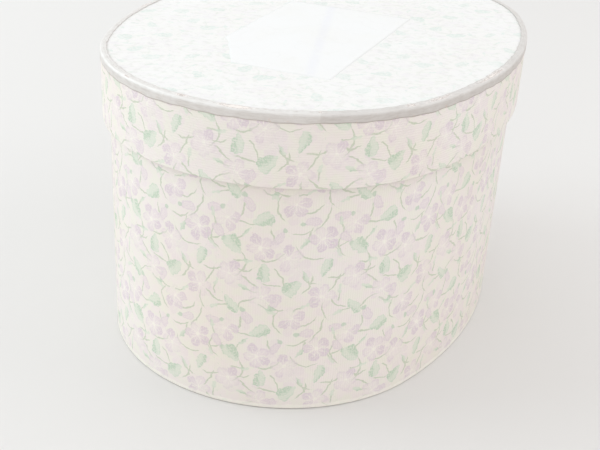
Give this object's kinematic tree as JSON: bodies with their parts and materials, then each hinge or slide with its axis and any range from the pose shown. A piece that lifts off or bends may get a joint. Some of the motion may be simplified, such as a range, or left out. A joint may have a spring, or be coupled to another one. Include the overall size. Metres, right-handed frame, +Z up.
{
  "type": "oval lidded keepsake box",
  "caption": "Oval pasteboard box with a lift-off lid, covered in ribbed paper printed with small violets and leaves, with a silver-grey paper edge round the lid.",
  "frame": {"origin": "centre of the underside, on the surface the box stands on", "axes": "+Z up, the way the lid lifts; Y along the oval's long axis; X across it"},
  "size_m": [0.2, 0.2684, 0.149],
  "materials": {
    "pasteboard": "matte, uncoated grey-buff strawboard",
    "cloth_tape": "matte woven tape",
    "printed_paper": "matte, finely ribbed, printed with small violets and leaves",
    "top_paper": "matte, finely ribbed, printed with small violets and leaves, faded",
    "plain_paper": "matte",
    "lining_paper": "matte, slightly yellowed",
    "silver_binding": "aged metallic silver-grey paper, worn at its folds",
    "label_paper": "matte white"
  },
  "bodies": {
    "box": {"base_cover_paper": "plain_paper", "base_board": "pasteboard", "body_wall": "pasteboard", "body_seam_tape": "cloth_tape", "body_corner_tape": "cloth_tape", "body_cover_paper": "printed_paper", "body_lining_paper": "lining_paper", "base_lining_paper": "lining_paper"},
    "lid": {"lid_wall": "pasteboard", "lid_seam_tape": "cloth_tape", "lid_board": "pasteboard", "lid_corner_tape": "cloth_tape", "lid_side_paper": "printed_paper", "lid_top_paper": "top_paper", "lid_edge_binding": "silver_binding", "lid_side_lining": "lining_paper", "lid_top_lining": "lining_paper", "lid_label": "label_paper"}
  },
  "joints": [
    {"name": "lid_lift", "type": "slide", "parent": "box", "child": "lid", "axis": [0, 0, 1], "range_m": [0, 0.15]}
  ]
}
